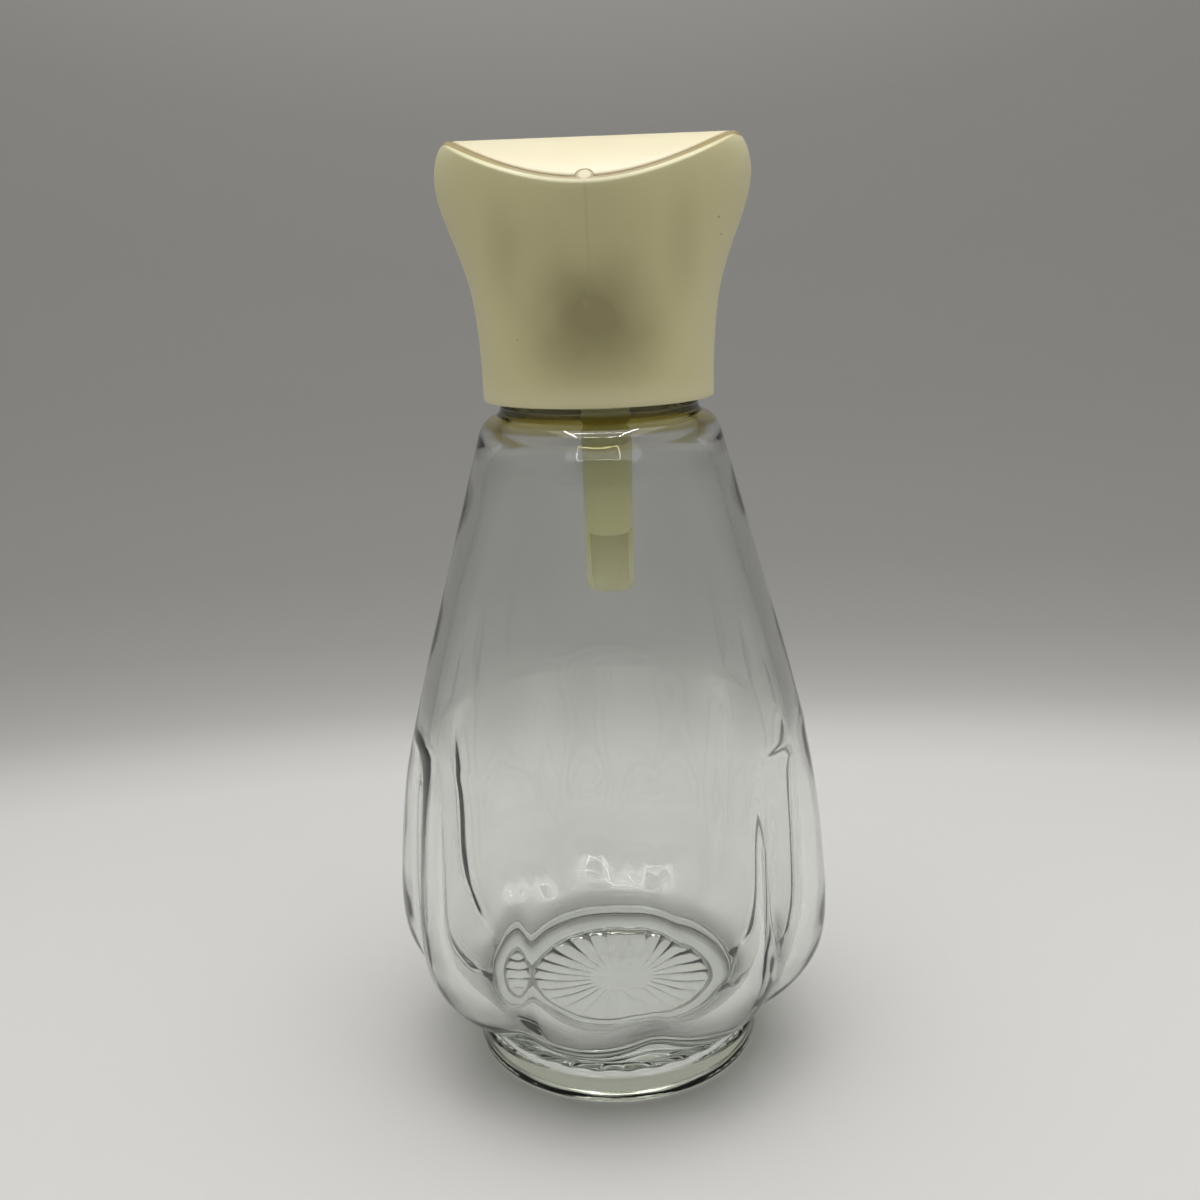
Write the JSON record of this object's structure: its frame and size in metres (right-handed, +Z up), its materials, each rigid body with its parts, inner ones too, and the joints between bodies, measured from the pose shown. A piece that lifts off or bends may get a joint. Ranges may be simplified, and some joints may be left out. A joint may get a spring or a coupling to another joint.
{
  "type": "syrup dispenser bottle",
  "caption": "Empty clear glass syrup dispenser: lobed teardrop bottle on a round foot, flared cream plastic cap with a crowned top, vent tube hanging inside.",
  "frame": {"origin": "centre of the foot on the plane the bottle stands on", "axes": "+Z up the bottle's axis, -Y out of the cap's front, X from ear to ear of the cap"},
  "size_m": [0.0806, 0.0807, 0.1664],
  "materials": {
    "clear_glass": "clear, polished, faint grey-green tint in thick places",
    "cap_plastic": "aged cream, satin, slightly translucent",
    "plate_plastic": "aged cream, satin",
    "tube_plastic": "aged cream, satin, translucent"
  },
  "bodies": {
    "root": {"glass_bottle": "clear_glass", "cap_shell": "cap_plastic", "cap_top_plate": "plate_plastic", "vent_tube": "tube_plastic"}
  },
  "joints": []
}
